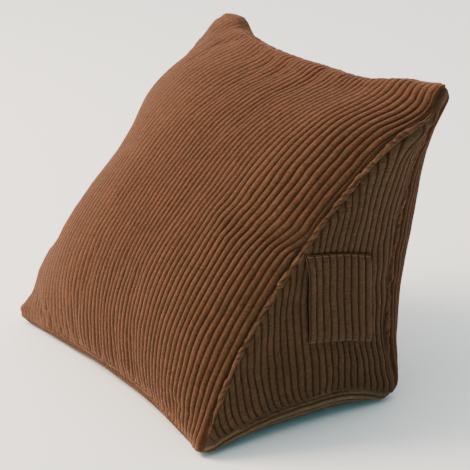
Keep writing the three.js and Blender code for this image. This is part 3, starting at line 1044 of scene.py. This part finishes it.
def velvet(name, crest, nap, groove, warm, dull, turned):
    """Ribbed velvet: pile on round ribs, finely beaded along each, darkened in the grooves by painted shade,
    patchy in tone.

    The nap of the side panels lies the other way. They and the base are tinted duller and cooler by the
    factors in turned, as painted shade, and their grooves get deeper painted shade.
    """
    n = Nodes(bpy.data.materials.new(name))
    rib = n.attribute("rib")
    along = n.attribute("along")
    seam = n.attribute("seam")
    place = n.add("ShaderNodeTexCoord").outputs["Object"]
    number = n.math("FLOOR", rib)
    phase = n.math("FRACT", rib)
    from_crest = n.math("ABSOLUTE", n.math("MULTIPLY_ADD", phase, 2.0, -1.0))
    on_ribs = n.math("SUBTRACT", 1.0, seam)
    # Painted shade in the grooves between the ribs: none at the seams, and weaker on the left of the long
    # panels, where the ribs lie flatter
    groove_shade_mask = n.times(n.step(from_crest, 0.5, 0.95), on_ribs)
    groove_shade_mask = n.times(groove_shade_mask, n.step(rib, *FLAT_RIBS, 0.35, 1.0))
    own = n.add("ShaderNodeTexWhiteNoise", {"W": number}, noise_dimensions="1D").outputs["Value"]
    shifted = n.math("MULTIPLY_ADD", own, 7.0, along)
    beads = n.noise(n.vector(n.times(shifted, 0.45), n.times(rib, 1.6)), 1.0, 1.0)
    lumps = n.noise(n.vector(n.times(shifted, 0.11), n.times(number, 9.3)), 1.0, 1.0)
    pile = n.noise(place, 900.0, 2.0, 0.6)
    tone = n.noise(place, 16.0, 3.0, 0.55)
    hue = n.noise(place, 42.0, 2.0, 0.5)
    fine_hue = n.noise(place, 190.0, 2.0, 0.6)
    colour = n.mix(n.step(beads, 0.3, 0.7), crest, nap)
    colour = n.mix(n.step(hue, 0.45, 0.72, 0.0, 0.55), colour, warm)
    colour = n.mix(n.step(fine_hue, 0.46, 0.68, 0.0, 0.7), colour, dull)
    colour = n.mix(n.step(fine_hue, 0.54, 0.3, 0.0, 0.7), colour, warm)
    brightness = n.math("MULTIPLY_ADD", tone, 0.5, 0.72)
    for pattern, swing, least in ((own, 0.16, 0.92), (pile, 0.7, 0.65), (lumps, 0.4, 0.8)):
        brightness = n.times(brightness, n.math("MULTIPLY_ADD", pattern, swing, least))
    colour = n.mix(groove_shade_mask, n.times_grey(colour, brightness), groove)
    in_base = n.step(along, BASE_START - 2 * MARK_BLEND, BASE_START)
    is_side = n.step(rib, LEFT_SIDE_MARK - 2 * MARK_BLEND, LEFT_SIDE_MARK - MARK_BLEND)
    is_no_welt = n.step(rib, WELT_MARK - MARK_BLEND, WELT_MARK - 2 * MARK_BLEND)
    # Painted shade on the side panels and the base: their grooves darker still, and their colour tinted
    # cooler by the factors in turned
    in_turned_shade = n.times(n.math("MAXIMUM", is_side, in_base), is_no_welt)
    turned_groove_shade = n.math("MULTIPLY_ADD", n.times(groove_shade_mask, in_turned_shade), -0.4, 1.0)
    colour = n.times_grey(colour, turned_groove_shade)
    colour = n.mix(in_turned_shade, colour, n.mix(1.0, colour, turned, "MULTIPLY"))
    # Painted light: the base panel's colour is brightened
    colour = n.mix(in_base, colour, n.mix(1.0, colour, BASE_PAINTED_LIGHT, "MULTIPLY"))
    relief = n.math("MULTIPLY_ADD", n.times(beads, on_ribs), 1.1, n.times(pile, 0.4))
    relief = n.math("MULTIPLY_ADD", n.times(lumps, on_ribs), 1.6, relief)
    bump = n.add("ShaderNodeBump", {"Height": relief, "Strength": 0.8, "Distance": 0.0016})
    shader = n.add("ShaderNodeBsdfPrincipled", {
        "Base Color": colour, "Roughness": 0.92, "Specular IOR Level": 0.12, "Normal": bump.outputs[0],
        "Sheen Weight": 0.2, "Sheen Roughness": 0.45, "Sheen Tint": rgb(0.95, 0.5, 0.35),
    })
    return n.finish(shader)


def plain(name, colour, roughness):
    n = Nodes(bpy.data.materials.new(name))
    return n.finish(n.add("ShaderNodeBsdfPrincipled", {"Base Color": colour, "Roughness": roughness}))


def make_stage():
    floor = bpy.data.meshes.new("floor")
    corners = [(x * FLOOR_SIZE, y * FLOOR_SIZE, 0) for x, y in ((-1, -1), (1, -1), (1, 1), (-1, 1))]
    floor.from_pydata(corners, [], [(0, 1, 2, 3)])
    floor.materials.append(plain("pale_floor", rgb(0.84, 0.94, 0.97), 0.8))
    piece = add_object("floor", floor)


def add_light(lamp):
    light = bpy.data.lights.new(lamp.name, "AREA")
    light.shape = "DISK"
    light.size = lamp.size
    light.energy = lamp.power
    light.color = lamp.colour
    piece = add_object(lamp.name, light)
    piece.location = lamp.position
    aim = Vector(lamp.target) - Vector(lamp.position)
    piece.rotation_euler = aim.to_track_quat("-Z", "Y").to_euler()


def make_world():
    world = bpy.data.worlds.new("pale_studio")
    bpy.context.scene.world = world
    n = Nodes(world)
    direction = n.add("ShaderNodeTexCoord").outputs["Generated"]
    right = n.add("ShaderNodeSeparateXYZ", {"Vector": direction}).outputs["X"]
    colour = n.mix(n.step(right, *WORLD_TURN), WORLD_BRIGHT, WORLD_DIM)
    n.finish(n.add("ShaderNodeBackground", {"Color": colour}), "ShaderNodeOutputWorld")


def make_camera():
    azimuth = math.radians(CAMERA_AZIMUTH)
    elevation = math.radians(CAMERA_ELEVATION)
    roll = math.radians(CAMERA_ROLL)
    flat = math.cos(elevation)
    back = Vector((math.sin(azimuth) * flat, -math.cos(azimuth) * flat, math.sin(elevation)))
    level = Vector((math.cos(azimuth), math.sin(azimuth), 0))
    upright = back.cross(level)
    right = level * math.cos(roll) + upright * math.sin(roll)
    up = upright * math.cos(roll) - level * math.sin(roll)
    lens = bpy.data.cameras.new("camera")
    lens.lens = CAMERA_LENS
    lens.sensor_width = CAMERA_SENSOR
    camera = add_object("camera", lens)
    turned = Matrix((right, up, back)).transposed().to_4x4()
    camera.matrix_world = Matrix.Translation(CAMERA_POSITION) @ turned
    bpy.context.scene.camera = camera


make_camera()
make_world()
add_light(KEY)
add_light(FILL)
make_stage()

# The colours, in order: crest, nap, groove, warm, dull, turned. The groove colour of both is painted shade in
# the grooves, and the turned factors of the cover are a painted cooler tint of the shade on its side panels
# and base
COVER = velvet(
    "ribbed_velvet", rgb(0.076, 0.037, 0.019), rgb(0.05, 0.024, 0.012),
    rgb(0.055, 0.0175, 0.0026), rgb(0.086, 0.034, 0.018), rgb(0.061, 0.0348, 0.0175), rgb(0.9, 1.04, 1.03),
)
WELTS = velvet(
    "welt_velvet", rgb(0.1, 0.053, 0.03), rgb(0.056, 0.027, 0.0135),
    rgb(0.042, 0.017, 0.006), rgb(0.108, 0.048, 0.028), rgb(0.075, 0.042, 0.022), rgb(1, 1, 1),
)
THREAD = plain("thread", rgb(0.115, 0.064, 0.043), 0.9)


def dress(piece, material):
    piece.data.materials.append(material)
    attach(piece, "root")


cushion, ring = make_cushion()
dress(cushion, COVER)
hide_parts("cushion")
welts = make_welts(cushion, ring)
dress(welts, WELTS)
pocket, pocket_surface, pocket_normals = make_pocket(cushion)
dress(pocket, COVER)
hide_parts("pocket")
stitches = make_stitches(pocket_surface, pocket_normals)
dress(stitches, THREAD)
